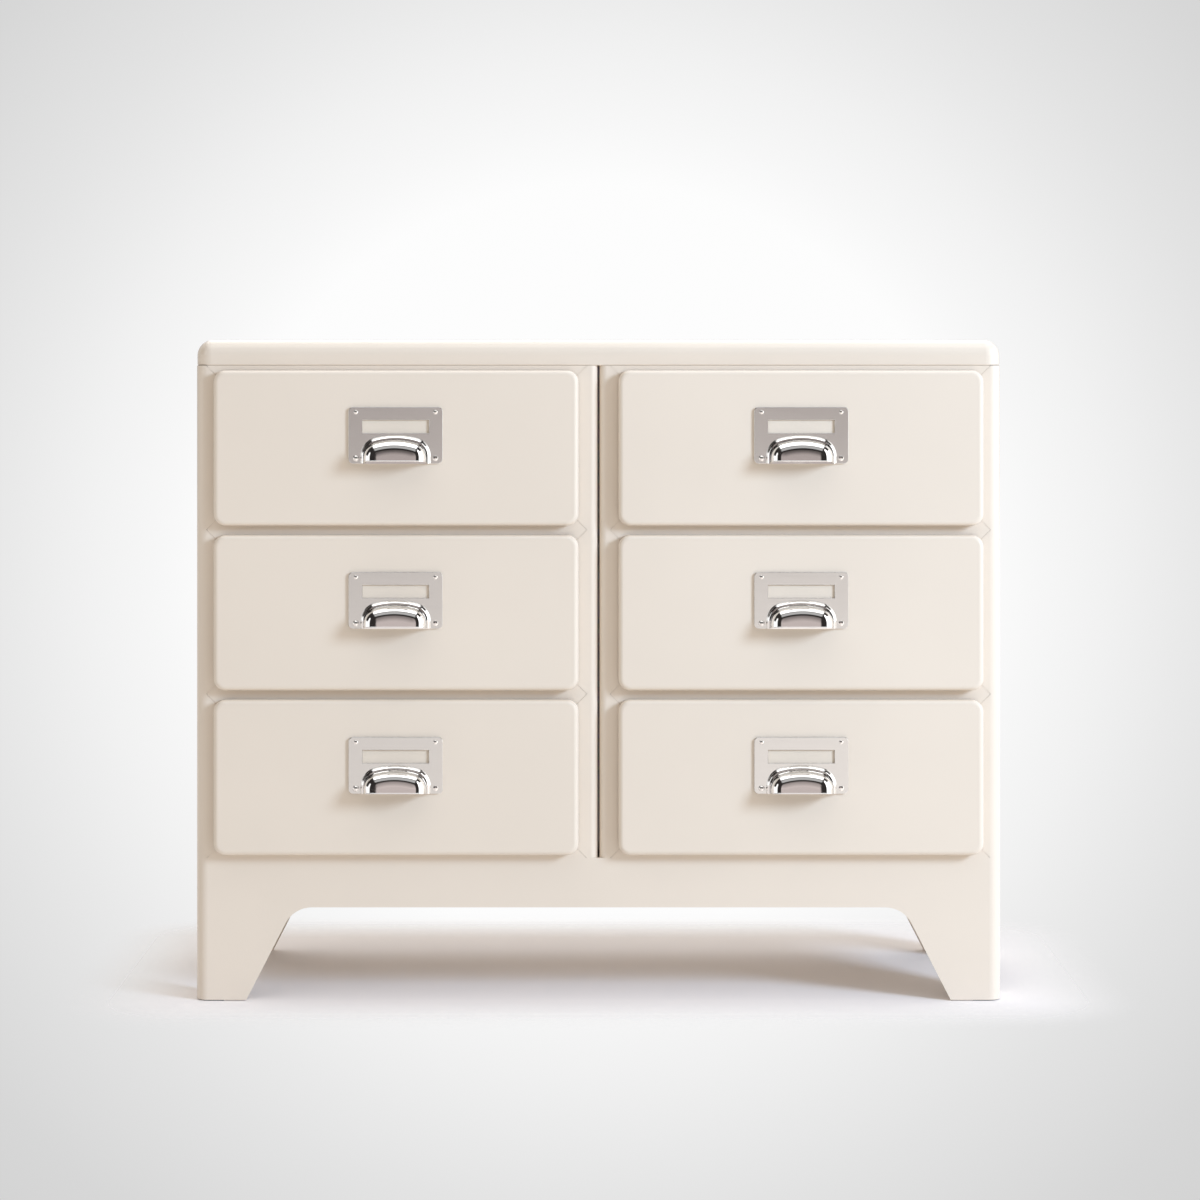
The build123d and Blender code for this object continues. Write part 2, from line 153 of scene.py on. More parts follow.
class Recipe:
    """The nodes of one material or of the world."""

    def __init__(self, tree):
        self.tree = tree

    def node(self, kind, settings=None, inputs=None, output=0):
        """Adds a node, sets it up, feeds its sockets with values or wires, and gives one output."""
        node = self.tree.nodes.new(kind)
        for key, value in (settings or {}).items():
            if key == "stops":
                self.set_stops(node.color_ramp, value)
            else:
                setattr(node, key, value)
        for key, value in (inputs or {}).items():
            self.feed(node.inputs[key], value)
        return Wire(self, node.outputs[output])

    def set_stops(self, ramp, stops):
        """Gives a ramp its stops, as (place, colour)."""
        while len(ramp.elements) < len(stops):
            ramp.elements.new(1)
        for element, (place, colour) in zip(ramp.elements, stops):
            element.position = place
            element.color = colour

    def feed(self, socket, value):
        """Puts a wire or a plain value into a socket."""
        if isinstance(value, Wire):
            self.tree.links.new(value.socket, socket)
        else:
            socket.default_value = value

    def mix(self, factor, first, second):
        """A colour between two colours."""
        return self.node(
            "ShaderNodeMix",
            {"data_type": "RGBA", "clamp_factor": True},
            {"Factor": factor, 6: first, 7: second},
            output=2,
        )

    def add(self, first, second):
        """Two colours added together."""
        return self.node(
            "ShaderNodeMix",
            {"data_type": "RGBA", "blend_type": "ADD", "clamp_result": False},
            {"Factor": 1, 6: first, 7: second},
            output=2,
        )

    def shades(self, factor, colour, darkest, lightest):
        """A colour that goes from a darker to a lighter tone of itself."""
        return self.mix(factor, tone(colour, darkest), tone(colour, lightest))

    def ramp(self, value, stops):
        """A colour read off a row of stops."""
        return self.node("ShaderNodeValToRGB", {"stops": stops}, {"Fac": value})

    def glow(self, strength):
        """White light of a strength that may go past 1."""
        return self.mix(strength * (1 / MOST_GLOW), BLACK, (MOST_GLOW, MOST_GLOW, MOST_GLOW, 1))

    def place(self, scale=(1, 1, 1)):
        """Object coordinates in metres, stretched by scale."""
        place = self.node("ShaderNodeTexCoord", output="Object")
        return self.node("ShaderNodeMapping", {}, {"Vector": place, "Scale": scale})

    def split(self, vector):
        """The three parts of a vector."""
        return [self.node("ShaderNodeSeparateXYZ", {}, {"Vector": vector}, output=part) for part in range(3)]

    def noise(self, where, per_metre, detail=2, roughness=0.5):
        """Soft random patches, so many to the metre."""
        values = {"Vector": where, "Scale": per_metre, "Detail": detail, "Roughness": roughness}
        return self.node("ShaderNodeTexNoise", {}, values)

    def relief(self, height, depth, strength, below=None):
        """A bump of this height map, over any bump that is already there."""
        values = {"Height": height, "Distance": depth, "Strength": strength}
        if below is not None:
            values["Normal"] = below
        return self.node("ShaderNodeBump", {}, values)


class Finish:
    """A new material, with the shader's plain values set on its own sockets."""

    def __init__(self, name, **plain):
        self.material = bpy.data.materials.new(name)
        self.material.use_nodes = True
        self.recipe = Recipe(self.material.node_tree)
        self.shader = self.material.node_tree.nodes["Principled BSDF"]
        for socket, value in plain.items():
            self.shader.inputs[socket.replace("_", " ")].default_value = value

    def vary(self, socket, wire):
        """Feeds a socket of the shader with what changes over the surface."""
        self.recipe.feed(self.shader.inputs[socket], wire)


def powder_coat(name, colour):
    """Satin powder coat on sheet steel: fine orange peel, faint clouds, and the sheet's own slow waves."""
    finish = Finish(name, Specular_IOR_Level=0.5, Coat_Roughness=0.13)
    recipe = finish.recipe
    where = recipe.place()
    clouds = recipe.noise(where, per_metre=5, detail=3)
    peel = recipe.noise(where, per_metre=620, roughness=0.6)
    grains = recipe.noise(where, per_metre=2400, detail=1)
    bends = recipe.noise(where, per_metre=7, detail=1)
    shade = clouds.step(*NARROW_NOISE)
    finish.vary("Base Color", recipe.shades(shade, colour, darkest=0.985, lightest=1.015))
    finish.vary("Roughness", clouds.step(*NARROW_NOISE, low=0.36, high=0.44) + grains * GRAIN_ROUGHNESS)
    finish.vary("Coat Weight", clouds.step(*WIDE_NOISE, low=0.65, high=0.8))
    waves = recipe.relief(bends, depth=0.0009, strength=0.35)
    finish.vary("Normal", recipe.relief(peel, depth=0.00005, strength=0.5, below=waves))
    return finish.material


def brushed_nickel(name, colour):
    """Nickel plate with fine brush lines along X."""
    finish = Finish(name, Metallic=1, Anisotropic=0.4)
    recipe = finish.recipe
    lines = recipe.noise(recipe.place(scale=(0.001, 1, 1)), per_metre=3600, roughness=0.6)
    clouds = recipe.noise(recipe.place(), per_metre=60)
    finish.vary("Base Color", recipe.shades(lines, colour, darkest=0.97, lightest=1.02))
    finish.vary("Roughness", lines.step(*NARROW_NOISE, low=0.14, high=0.2) + clouds * CLOUD_ROUGHNESS)
    finish.vary("Normal", recipe.relief(lines, depth=0.00002, strength=0.2))
    return finish.material


def bright_plate(name, colour, rough):
    """Polished plating with faint smears and the soft unevenness of pressed metal."""
    finish = Finish(name, Metallic=1)
    recipe = finish.recipe
    smears = recipe.noise(recipe.place(scale=(0.5, 1, 1)), per_metre=90, detail=3, roughness=0.6)
    dents = recipe.noise(recipe.place(), per_metre=160, detail=1)
    finish.vary("Base Color", recipe.shades(smears, colour, darkest=0.97, lightest=1.02))
    finish.vary("Roughness", smears.step(*HIGH_NOISE, low=rough, high=rough + SMEAR_ROUGHNESS))
    finish.vary("Normal", recipe.relief(dents, depth=0.00004, strength=0.3))
    return finish.material


def card_stock(name, colour):
    """Blank card with a fine paper grain."""
    finish = Finish(name, Specular_IOR_Level=0.3)
    recipe = finish.recipe
    fibres = recipe.noise(recipe.place(scale=(0.25, 1, 1)), per_metre=1800, detail=3, roughness=0.7)
    finish.vary("Base Color", recipe.shades(fibres, colour, darkest=0.96, lightest=1.03))
    finish.vary("Roughness", fibres.between(0.68, 0.83))
    finish.vary("Normal", recipe.relief(fibres, depth=0.00004, strength=0.4))
    return finish.material


def zinc_plate(name, colour):
    """Dull zinc plate with small cloudy spangles."""
    finish = Finish(name, Metallic=1)
    recipe = finish.recipe
    where = recipe.place()
    cells = {"Vector": where, "Scale": SPANGLES_PER_METRE}
    spangles = recipe.node("ShaderNodeTexVoronoi", {}, cells, output="Color")
    clouds = recipe.noise(where, per_metre=30, detail=3)
    dull = recipe.shades(clouds, colour, darkest=0.9, lightest=1.08)
    finish.vary("Base Color", recipe.mix(SPANGLE_SHARE, dull, spangles))
    finish.vary("Roughness", clouds.between(0.32, 0.52))
    finish.vary("Normal", recipe.relief(clouds, depth=0.0001, strength=0.2))
    return finish.material


def moulded_plastic(name, colour, rough):
    """Moulded plastic with a fine spark-eroded grain."""
    finish = Finish(name, Specular_IOR_Level=0.45)
    recipe = finish.recipe
    where = recipe.place()
    grain = recipe.noise(where, per_metre=1500, roughness=0.6)
    clouds = recipe.noise(where, per_metre=40)
    finish.vary("Base Color", recipe.shades(clouds, colour, darkest=0.94, lightest=1.06))
    finish.vary("Roughness", grain.between(rough, rough + MOULD_ROUGHNESS))
    finish.vary("Normal", recipe.relief(grain, depth=0.00006, strength=0.4))
    return finish.material


CREAM = (0.83, 0.722, 0.597)
BRUSHED_NICKEL = (0.73, 0.725, 0.71)
BRIGHT_CHROME = (0.90, 0.89, 0.88)
BRIGHT_NICKEL = (0.88, 0.855, 0.83)
ZINC = (0.50, 0.495, 0.49)
NATURAL_NYLON = (0.78, 0.76, 0.70)
GLIDE_BLACK = (0.035, 0.035, 0.036)
CARD = (0.83, 0.725, 0.60)

FINISHES = {
    "cream_paint": powder_coat("cream powder coat", CREAM),
    "satin_nickel": brushed_nickel("brushed nickel", BRUSHED_NICKEL),
    "bright_chrome": bright_plate("bright chrome", BRIGHT_CHROME, rough=0.045),
    "bright_nickel": bright_plate("bright nickel", BRIGHT_NICKEL, rough=0.09),
    "zinc_steel": zinc_plate("zinc plate", ZINC),
    "nylon": moulded_plastic("natural nylon", NATURAL_NYLON, rough=0.4),
    "glide_plastic": moulded_plastic("black glide plastic", GLIDE_BLACK, rough=0.45),
    "card": card_stock("blank card", CARD),
}


def dress_nodes():
    """Gives every node of the frame the finish of its slot."""
    for subpart in frame["record"]["subparts"]:
        node = nodes[subpart["node"]]
        node.data.materials.clear()
        node.data.materials.append(FINISHES[subpart["material_slot"]])


# Shaping

SMOOTH_ANGLE = math.radians(32)
# How near two lengths are that count as the same, and how far past a piece the block that cuts it runs
SAME = 0.00001
CUT_ROOM = 0.01
ROUND_PROFILE = 0.5
INWARDS = -1


def only(piece):
    """Makes a piece the one that is selected and worked on."""
    bpy.ops.object.select_all(action="DESELECT")
    piece.select_set(True)
    bpy.context.view_layer.objects.active = piece


def named(name):
    """Names the piece that was just added and settles its place into its mesh."""
    piece = bpy.context.object
    only(piece)
    piece.name = name
    piece.data.name = name
    bpy.ops.object.transform_apply(location=True, rotation=True, scale=True)
    return piece


def add_block(name, low, high):
    """A block between two corners."""
    low, high = Vector(low), Vector(high)
    bpy.ops.object.select_all(action="DESELECT")
    bpy.ops.mesh.primitive_cube_add(size=1, location=(low + high) / 2, scale=high - low)
    return named(name)


def open_edit(piece, kind, choose):
    """Opens a piece for editing with only what choose has selected, which are faces, edges or points."""
    bpy.ops.object.mode_set(mode="EDIT")
    bpy.ops.mesh.select_mode(type=kind)
    bpy.ops.mesh.select_all(action="DESELECT")
    bpy.ops.object.mode_set(mode="OBJECT")
    choose(piece.data)
    bpy.ops.object.mode_set(mode="EDIT")


def pick_faces(piece, test):
    """Opens a piece for editing with only the faces selected whose middle and normal pass a test."""
    def choose(mesh):
        for face in mesh.polygons:
            face.select = test(face.center, face.normal)

    open_edit(piece, "FACE", choose)


def pick_edges(piece, test):
    """Opens a piece for editing with only the edges selected whose two ends pass a test."""
    def choose(mesh):
        places = [vertex.co for vertex in mesh.vertices]
        for edge in mesh.edges:
            first, second = edge.vertices
            edge.select = test(places[first], places[second])

    open_edit(piece, "EDGE", choose)


def pick_points(piece, test):
    """Opens a piece for editing with only the points selected that pass a test."""
    def choose(mesh):
        for vertex in mesh.vertices:
            vertex.select = test(vertex.co)

    open_edit(piece, "VERT", choose)


def close_edit():
    """Leaves editing."""
    bpy.ops.object.mode_set(mode="OBJECT")


def round_edges(piece, test, radius, segments):
    """Rounds the edges that pass a test."""
    pick_edges(piece, test)
    bpy.ops.mesh.bevel(offset=radius, segments=segments, profile=ROUND_PROFILE, affect="EDGES")
    close_edit()


def pull_out(x=0, y=0, z=0):
    """Extrudes what is selected, and moves the new end."""
    bpy.ops.mesh.extrude_region_move(TRANSFORM_OT_translate={"value": (x, y, z)})


def same(first, second):
    """Whether two lengths are the same for all that shows."""
    return abs(first - second) < SAME


def along_depth(a, b):
    """Whether an edge runs from front to back."""
    return same(a.x, b.x) and same(a.z, b.z)


def on_front(y):
    """A test for edges that lie in the plane of a front face."""
    return lambda a, b: same(a.y, y) and same(b.y, y)


def cut_away(piece, cutter):
    """Cuts one block's shape out of a piece, and takes the block away."""
    only(piece)
    bpy.ops.object.modifier_add(type="BOOLEAN")
    cut = piece.modifiers[-1]
    cut.operation = "DIFFERENCE"
    cut.solver = "EXACT"
    cut.object = cutter
    bpy.ops.object.modifier_apply(modifier=cut.name)
    bpy.data.objects.remove(cutter)


def join(pieces, name):
    """Makes several pieces one."""
    only(pieces[0])
    for piece in pieces:
        piece.select_set(True)
    bpy.ops.object.join()
    return named(name)


def finish_piece(piece, slot, angle=SMOOTH_ANGLE):
    """Smooth shading that keeps folds crisp, and the finish of the piece's slot."""
    only(piece)
    bpy.ops.object.shade_smooth_by_angle(angle=angle)
    bpy.ops.object.modifier_add(type="WEIGHTED_NORMAL")
    weighting = piece.modifiers[-1]
    weighting.keep_sharp = True
    bpy.ops.object.modifier_apply(modifier=weighting.name)
    piece.data.materials.clear()
    piece.data.materials.append(FINISHES[slot])


def copy_of(piece, name, move):
    """A copy with its own mesh, moved into place."""
    only(piece)
    bpy.ops.object.duplicate()
    bpy.context.object.location = move
    return named(name)


# Label-holder plate of a pull, with how many facets each of its rounded edges has

PLATE_ROUND = 0.005
PLATE_ROUND_FACETS = 10
PLATE_EDGE = 0.0006
PLATE_EDGE_FACETS = 4
WINDOW_WIDTH = 0.0727
WINDOW_HEIGHT = 0.0144
WINDOW_DROP = 0.0142
WINDOW_EDGE = 0.0004
WINDOW_EDGE_FACETS = 3
WINDOW_NEAR = 0.0001
POCKET_DEPTH = 0.0008
POCKET_LAP = 0.0024


def shape_plate(low, high):
    """The label-holder plate, with its window and the pocket for the card behind it."""
    plate = add_block("pull_plate", low, high)
    round_edges(plate, along_depth, PLATE_ROUND, PLATE_ROUND_FACETS)
    round_edges(plate, on_front(low.y), PLATE_EDGE, PLATE_EDGE_FACETS)
    middle = (low.x + high.x) / 2
    left = middle - WINDOW_WIDTH / 2
    right = middle + WINDOW_WIDTH / 2
    top = high.z - WINDOW_DROP
    bottom = top - WINDOW_HEIGHT
    window = add_block("window", (left, low.y - CUT_ROOM, bottom), (right, high.y + CUT_ROOM, top))
    cut_away(plate, window)
    pocket_low = (left - POCKET_LAP, high.y - POCKET_DEPTH, bottom - POCKET_LAP)
    pocket_high = (right + POCKET_LAP, high.y + CUT_ROOM, top + POCKET_LAP)
    cut_away(plate, add_block("pocket", pocket_low, pocket_high))

    def by_window(point):
        """Whether a point is at the window, as seen from the front."""
        across = left - WINDOW_NEAR < point.x < right + WINDOW_NEAR
        return across and bottom - WINDOW_NEAR < point.z < top + WINDOW_NEAR

    front = on_front(low.y)
    round_edges(
        plate, lambda a, b: by_window(a) and by_window(b) and front(a, b), WINDOW_EDGE, WINDOW_EDGE_FACETS
    )
    finish_piece(plate, "satin_nickel")
    return plate


# Screws of a pull

SCREW_INSET = 0.008
SCREW_DROP = 0.0058
SHANK_RADIUS = 0.0015
SHANK_POINT = 0.0008
SCREW_SIDES = 28
SCREW_RINGS = 20
# How straight back a face looks that counts as the flat back of a head
STRAIGHT_BACK = 0.99
UPPER_HEAD_HEIGHT = 0.0012
UPPER_HEAD_RADIUS = 0.0025
LOWER_LEFT_HEAD_RADIUS = 0.0034
LOWER_RIGHT_HEAD_HEIGHT = 0.0007
LOWER_RIGHT_HEAD_RADIUS = 0.003


def shape_screw(name, x, z, head_front, plate_front, head_radius, tail):
    """A screw with a domed head in front of the plate and its shank behind it."""
    bpy.ops.object.select_all(action="DESELECT")
    bpy.ops.mesh.primitive_uv_sphere_add(
        segments=SCREW_SIDES, ring_count=SCREW_RINGS, radius=1, location=(x, plate_front, z),
        rotation=(QUARTER_TURN, 0, 0), scale=(head_radius, head_radius, plate_front - head_front),
    )
    screw = named(name)
    bpy.ops.object.mode_set(mode="EDIT")
    bpy.ops.mesh.select_all(action="SELECT")
    bpy.ops.mesh.bisect(
        plane_co=(x, plate_front, z), plane_no=(0, 1, 0), use_fill=True, clear_outer=True
    )
    close_edit()
    pick_faces(screw, lambda middle, normal: normal.y > STRAIGHT_BACK and same(middle.y, plate_front))
    bpy.ops.mesh.inset(thickness=head_radius - SHANK_RADIUS)
    pull_out(y=tail - plate_front)
    bpy.ops.mesh.inset(thickness=SHANK_RADIUS / 2, depth=SHANK_POINT)
    close_edit()
    return screw


def shape_screws(plate_low, plate_high, screws_low, screws_high):
    """The four screws of a pull: three with low heads, and a tall round head at the lower left."""
    front = plate_low.y
    tail = screws_high.y - SHANK_POINT
    left = plate_low.x + SCREW_INSET
    right = plate_high.x - SCREW_INSET
    top = plate_high.z - SCREW_DROP
    bottom = plate_low.z + SCREW_DROP
    upper = front - UPPER_HEAD_HEIGHT
    lower = front - LOWER_RIGHT_HEAD_HEIGHT
    screws = [
        shape_screw("upper_left", left, top, upper, front, UPPER_HEAD_RADIUS, tail),
        shape_screw("lower_left", left, bottom, screws_low.y, front, LOWER_LEFT_HEAD_RADIUS, tail),
        shape_screw("upper_right", right, top, upper, front, UPPER_HEAD_RADIUS, tail),
        shape_screw("lower_right", right, bottom, lower, front, LOWER_RIGHT_HEAD_RADIUS, tail),
    ]
    whole = join(screws, "pull_screws")
    finish_piece(whole, "bright_nickel")
    return whole


# Cup of a pull

CUP_CORNER = 0.021
CUP_TOP_ROUND = 0.085
CUP_ARCH_FACETS = 20
CUP_EDGE = 0.0003
# The rim's bead: how wide it is, and how steep at its outer and its inner side
CUP_BEAD_WIDTH = 0.0031
CUP_BEAD_OUTER = math.radians(60)
CUP_BEAD_INNER = math.radians(33)
CUP_BEAD_FACETS = 7
# The drop from the bead into the groove, and the crown of the cup's front, as (step in, step out)
CUP_GROOVE = [(0.00015, -0.0001), (0.0002, -0.0009), (0.0002, -0.0006), (0.0004, -0.0001)]
CUP_CROWN = [(0.0014, 0.0001), (0.0018, 0.00007), (0.002, 0.00003)]
# How much the cup's wall draws in between the groove and the shoulder
CUP_TAPER = 0.0002
CUP_SHOULDER = 0.0115
CUP_SHOULDER_FACETS = 14
CUP_LEAN = math.radians(4.5)
CUP_WALL = 0.0013
# How much the cup's lower edge rises towards the front, as a slope
CUP_RISE = 0.12
# The rolled lip: its radius, how far it stands out, and how far from the drawer it starts
CUP_LIP = 0.0006
CUP_LIP_PROUD = 0.0005
CUP_LIP_START = 0.006
CUP_LIP_FACETS = 3
CUP_SMOOTH_ANGLE = math.radians(55)


def quarter_steps(size, steps):
    """The steps of a quarter turn as (step in, step out)."""
    turns = [QUARTER_TURN * step / steps for step in range(steps + 1)]
    inward = [size * (1 - math.cos(turn)) for turn in turns]
    outward = [size * math.sin(turn) for turn in turns]
    return [(b - a, d - c) for a, b, c, d in zip(inward, inward[1:], outward, outward[1:])]


def bead_steps():
    """The steps across the rim's bead as (step in, step out), each a little flatter than the one before."""
    inward = CUP_BEAD_WIDTH / CUP_BEAD_FACETS
    flatter = (CUP_BEAD_OUTER - CUP_BEAD_INNER) / (CUP_BEAD_FACETS - 1)
    return [(inward, inward * math.tan(CUP_BEAD_OUTER - flatter * step)) for step in range(CUP_BEAD_FACETS)]


def draw_arch(name, left, right, bottom, top, y):
    """A flat arched face: upright sides, round corners and a top of one long curve."""
    half = (right - left) / 2
    middle = (left + right) / 2
    reach = CUP_TOP_ROUND - CUP_CORNER
    rise = (reach ** 2 - (half - CUP_CORNER) ** 2) ** 0.5
    corner_turn = math.atan2(rise, half - CUP_CORNER)
    corner_height = top - CUP_TOP_ROUND + rise
    bpy.ops.object.select_all(action="DESELECT")
    bpy.ops.mesh.primitive_plane_add(size=half, location=(left, y, bottom))
    arch = named(name)
    bpy.ops.object.mode_set(mode="EDIT")
    bpy.ops.mesh.select_mode(type="VERT")
    bpy.ops.mesh.select_all(action="SELECT")
    bpy.ops.mesh.merge(type="CENTER")
    pull_out(z=corner_height - bottom)
    turns = [
        (left + CUP_CORNER, corner_height, corner_turn),
        (middle, top - CUP_TOP_ROUND, math.pi - 2 * corner_turn),
        (right - CUP_CORNER, corner_height, corner_turn),
    ]
    for x, z, turn in turns:
        bpy.ops.mesh.spin(steps=CUP_ARCH_FACETS, angle=turn, center=(x, y, z), axis=(0, -1, 0))
    pull_out(z=bottom - corner_height)
    bpy.ops.mesh.select_all(action="SELECT")
    bpy.ops.mesh.edge_face_add()
    bpy.ops.mesh.flip_normals()
    close_edit()
    return arch


def shape_cup(low, high):
    """The cup of a pull: a beaded rim, a groove, and a deep rounded cup that is open below."""
    middle = (low.x + high.x) / 2
    tall = high.z - low.z
    cup = draw_arch("cup_pull", low.x, high.x, low.z - tall, high.z, high.y)
    bead = bead_steps() + CUP_GROOVE
    shoulder = quarter_steps(CUP_SHOULDER, CUP_SHOULDER_FACETS) + CUP_CROWN
    front = low.y + CUP_LIP_PROUD
    wall = high.y - front - CUP_EDGE - sum(outward for inward, outward in bead + shoulder)
    pick_faces(cup, lambda centre, normal: True)
    pull_out(y=-CUP_EDGE)
    for inward, outward in bead + [(CUP_TAPER, wall)] + shoulder:
        bpy.ops.mesh.inset(thickness=inward, depth=outward)
    close_edit()
    shoulder_back = front + CUP_SHOULDER + wall / 2
    pick_points(cup, lambda point: point.y < shoulder_back)
    bpy.ops.transform.rotate(value=CUP_LEAN, orient_axis="X", center_override=(middle, front, low.z))
    bpy.ops.mesh.select_all(action="SELECT")
    bpy.ops.mesh.bisect(plane_co=(middle, high.y, low.z), plane_no=(0, CUP_RISE, 1), clear_inner=True)
    close_edit()
    lip = shape_lip(cup, low.z, high.y)
    only(cup)
    bpy.ops.object.modifier_add(type="SOLIDIFY")
    shell = cup.modifiers[-1]
    shell.thickness = CUP_WALL
    shell.offset = INWARDS
    bpy.ops.object.modifier_apply(modifier=shell.name)
    whole = join([cup, lip], "cup_pull")
    finish_piece(whole, "bright_chrome", CUP_SMOOTH_ANGLE)
    return whole


def shape_lip(cup, bottom, back):
    """A rolled lip along the cup's lower edge."""
    def on_edge(point):
        """Whether a point is on the lower edge, clear of the rim."""
        clear = point.y < back - CUP_LIP_START
        return clear and same(point.z, bottom + (back - point.y) * CUP_RISE)

    pick_edges(cup, lambda a, b: on_edge(a) and on_edge(b))
    bpy.ops.mesh.duplicate()
    bpy.ops.mesh.separate(type="SELECTED")
    close_edit()
    lip = next(piece for piece in bpy.context.selected_objects if piece is not cup)
    only(lip)
    bpy.ops.object.convert(target="CURVE")
    roll = bpy.context.object.data
    roll.bevel_depth = CUP_LIP
    roll.bevel_resolution = CUP_LIP_FACETS
    roll.use_fill_caps = True
    bpy.ops.object.convert(target="MESH")
    bpy.context.object.location = (0, CUP_LIP - CUP_LIP_PROUD, CUP_LIP)
    return named("lip")


def fit_pulls():
    """Puts a plate, its screws and its cup on each of the six drawers."""
    plate_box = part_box("left_bottom_pull_plate")
    patterns = {
        "pull_plate": ("satin_nickel", shape_plate(*plate_box)),
        "pull_screws": ("bright_nickel", shape_screws(*plate_box, *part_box("left_bottom_pull_screws"))),
        "cup_pull": ("bright_chrome", shape_cup(*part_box("left_bottom_cup_pull"))),
    }
    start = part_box("left_bottom_drawer_front")[0]
    for column in COLUMNS:
        for row in ROWS:
            drawer = column + "_" + row
            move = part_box(drawer + "_drawer_front")[0] - start
            for kind, (slot, pattern) in patterns.items():
                piece = copy_of(pattern, drawer + "_dressed_" + kind, move)
                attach(piece, drawer + "_drawer")
                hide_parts(drawer + "_" + kind)
    for slot, pattern in patterns.values():
        bpy.data.objects.remove(pattern)


# Surroundings. A pair of numbers is where a change starts and where it ends. A height, or a place to one
# side, is that part of a direction of length 1, and a slope is one part of a direction by another.

# The least part of a direction that another part is divided by, and the blend between two halves of the room
LEAST_PART = 0.02
SIDE_BLEND = (-0.02, 0.02)

# The backdrop's brightness by distance from its middle, the distance being a slope seen from the camera
BACKDROP = [
    (0.0, 0.985), (0.115, 0.98), (0.134, 0.93), (0.155, 0.884),
    (0.18, 0.818), (0.201, 0.768), (0.246, 0.679), (0.27, 0.655),
]
BACKDROP_MIDDLE = -0.0641
BACKDROP_REACH = 0.3
BACKDROP_NEAREST = 0.05
# The pale floor that fills the view from above, and the heights between which it takes over
FLOOR_SEEN = (0.81, 0.8, 0.8, 1)
FLOOR_SEEN_EDGE = (-0.27, -0.38)


def seen_backdrop(recipe, x, y, z):
    """What the camera sees: brightest behind the chest, greyer all round, and a pale floor from above."""
    ahead = y.most(BACKDROP_NEAREST)
    aside = x / ahead
    above = z / ahead - BACKDROP_MIDDLE
    away = (aside * aside + above * above) ** 0.5 + (y * -1).step(*SIDE_BLEND)
    stops = [(place / BACKDROP_REACH, (value, value, value, 1)) for place, value in BACKDROP]
    return recipe.mix(z.step(*FLOOR_SEEN_EDGE), recipe.ramp(away / BACKDROP_REACH, stops), FLOOR_SEEN)


# The wall that the chest faces: its brightness by height, its colour, and its edges at both sides
FACING_WALL = [
    (0.0, 0.51), (0.025, 0.6), (0.05, 0.66), (0.08, 0.57), (0.12, 0.46), (0.16, 0.36), (0.2, 0.24),
    (0.25, 0.1), (0.29, 0.03), (0.6, 0.03),
]
WALL_TINT = (1, 0.87, 0.84)
WALL_EDGE = (0.1, 0.16)
ROOM_DARK = (0.03, 0.026, 0.025, 1)
# The half of the room behind the chest: where it starts, and its rise in brightness with height
REAR_START = (0.05, 0.3)
REAR_HEIGHT = (0.1, 0.6)
REAR_GLOSS = (0.5, 0.9)
# The floor: where it starts under the horizon, and its light, which grows from left to right
FLOOR_EDGE = (-0.036, -0.062)
FLOOR_BLEND = (-0.15, 0.15)
FLOOR_GLOSS_LEFT = (0.87, 0.81, 0.78, 1)
FLOOR_GLOSS_RIGHT = (1.24, 1.165, 1.12, 1)


def mirrored_room(recipe, x, y, z):
    """What metal and gloss mirror: a dim room with lit panels over a white floor."""
    ahead = (y * -1).most(LEAST_PART)
    rear = y.step(*REAR_START)
    wall = recipe.ramp(z, [(height, tone(WALL_TINT, value)) for height, value in FACING_WALL])
    room = recipe.mix((abs(x) / ahead).step(*WALL_EDGE), wall, ROOM_DARK)
    room = recipe.mix(rear, room, recipe.glow(z.step(*REAR_HEIGHT, *REAR_GLOSS)))
    panels = ceiling_panel(x, z, ahead) + side_panels(x, z, ahead) * (1 - rear)
    floor = recipe.mix(x.step(*FLOOR_BLEND), FLOOR_GLOSS_LEFT, FLOOR_GLOSS_RIGHT)
    return recipe.mix(z.step(*FLOOR_EDGE), recipe.add(room, recipe.glow(panels)), floor)


# The panel overhead, in a bright part above the chest and a grey part further forward
CEILING_SIDES = (0.66, 0.46)
CEILING_START = (0.3, 0.42)
CEILING_FRONT = (0.64, 0.42)
CEILING_GLOSS = 2
GREY_START = (0.42, 0.52)
GREY_FRONT = (0.45, 0.9)
GREY_GLOSS = 0.46


def ceiling_panel(x, z, ahead):
    """The lit panel overhead."""
    rise = z.most(LEAST_PART)
    forward = ahead / rise
    grey = z.step(*GREY_START) * forward.step(*GREY_FRONT) * GREY_GLOSS
    bright = forward.step(*CEILING_FRONT) * z.step(*CEILING_START) * CEILING_GLOSS
    return (abs(x) / rise).step(*CEILING_SIDES) * (grey + bright)


# The panels at the sides: the slant of their top edges, where they end above and in front, and their light
LEFT_SLANT = (0.35, 0.6)
LEFT_SLANT_RISE = 0.45
LEFT_TOP = (0.26, 0.12)
LEFT_FRONT = (1.1, 0.85)
LEFT_GLOSS = 1.2
RIGHT_SLANT = (0.4, 0.7)
RIGHT_SLANT_RISE = 0.6
RIGHT_TOP = (0.8, 0.62)
RIGHT_FRONT = (1.35, 1.05)
RIGHT_GLOSS = 2.2


def side_panels(x, z, ahead):
    """The lit panels on the left and on the right."""
    reach = abs(x).most(LEAST_PART)
    toward = ahead / reach
    height = z / reach
    left_top = height - toward.step(*LEFT_SLANT) * LEFT_SLANT_RISE
    right_top = height - toward.step(*RIGHT_SLANT) * RIGHT_SLANT_RISE
    left = left_top.step(*LEFT_TOP) * toward.step(*LEFT_FRONT) * (x * -1).step(*SIDE_BLEND)
    right = right_top.step(*RIGHT_TOP) * toward.step(*RIGHT_FRONT) * x.step(*SIDE_BLEND)
    return left * LEFT_GLOSS + right * RIGHT_GLOSS


